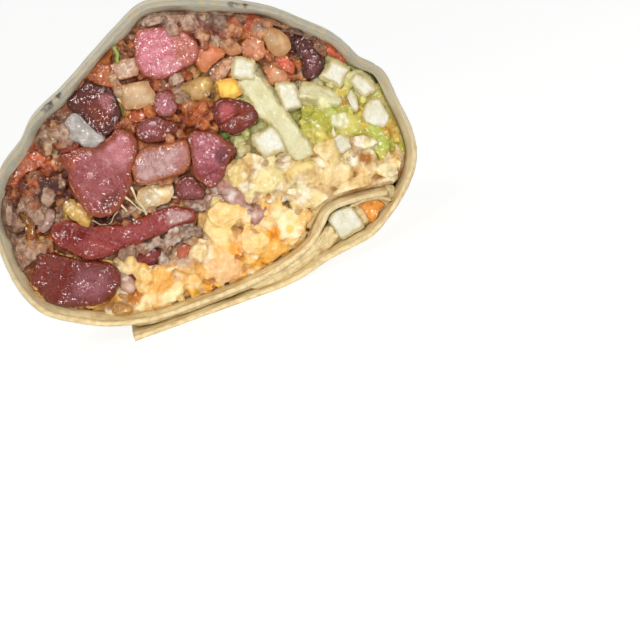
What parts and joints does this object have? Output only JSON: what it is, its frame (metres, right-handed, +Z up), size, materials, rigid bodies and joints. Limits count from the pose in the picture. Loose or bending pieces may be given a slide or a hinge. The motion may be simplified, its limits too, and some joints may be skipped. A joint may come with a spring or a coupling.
{
  "type": "half burrito",
  "caption": "Half of a loaded burrito lying on its seam: a rolled flour tortilla with a closed end and a cut face showing sausage, beef, salsa, fries, guacamole and cheesy potato.",
  "frame": {"origin": "on the resting plane, under the middle of the half", "axes": "+X to the right of the cut face, +Y from the cut face to the closed end, +Z up"},
  "size_m": [0.0994, 0.087, 0.0728],
  "materials": {
    "tortilla": "matte",
    "beef": "satin",
    "sausage": "gloss",
    "tomato": "gloss",
    "onion": "gloss",
    "fry": "satin",
    "potato": "satin",
    "cheesy": "satin",
    "guacamole": "satin",
    "cheese": "gloss",
    "cream": "satin"
  },
  "bodies": {
    "root": {"tortilla": "tortilla", "guacamole": "guacamole", "potato_cream": "potato", "cheesy_potato": "cheesy", "fries": "fry", "meat_mix": "beef", "fry_in_guacamole_right": "fry", "fry_in_guacamole_low": "fry", "fry_in_guacamole_top": "fry", "sausage_top_coin": "sausage", "sausage_two_lobed": "sausage", "sausage_low_left": "sausage", "sausage_middle": "sausage", "sausage_right_lobe": "sausage", "sausage_long_strip": "sausage", "sausage_dark_left": "sausage", "sausage_dark_centre": "sausage", "sausage_round_end": "sausage", "sausage_right_upright": "sausage", "sausage_mauve": "sausage", "sausage_small_purple": "sausage", "sausage_low_strip": "sausage", "sausage_small_left": "sausage", "onion_slice_left": "onion", "onion_top": "onion", "onion_centre": "onion", "onion_right": "onion", "onion_upper_right": "onion", "onion_lower_right": "onion", "onion_low": "onion", "onion_far_left": "onion", "onion_strand": "onion", "tomato_left": "tomato", "tomato_upper_left": "tomato", "tomato_centre": "tomato", "tomato_upper_right": "tomato", "tomato_peach": "tomato", "tomato_red_right": "tomato", "tomato_pale_right": "tomato", "tomato_rim": "tomato", "tomato_middle": "tomato", "tomato_low": "tomato", "cheese_amber": "cheese", "cheese_strand": "cheese", "cheese_melt": "cheese", "cheese_yellow": "cheese", "beef_strip": "beef", "cream_sauce": "cream", "fry_by_seam": "fry", "cheddar_wedge": "cheese"}
  },
  "joints": []
}
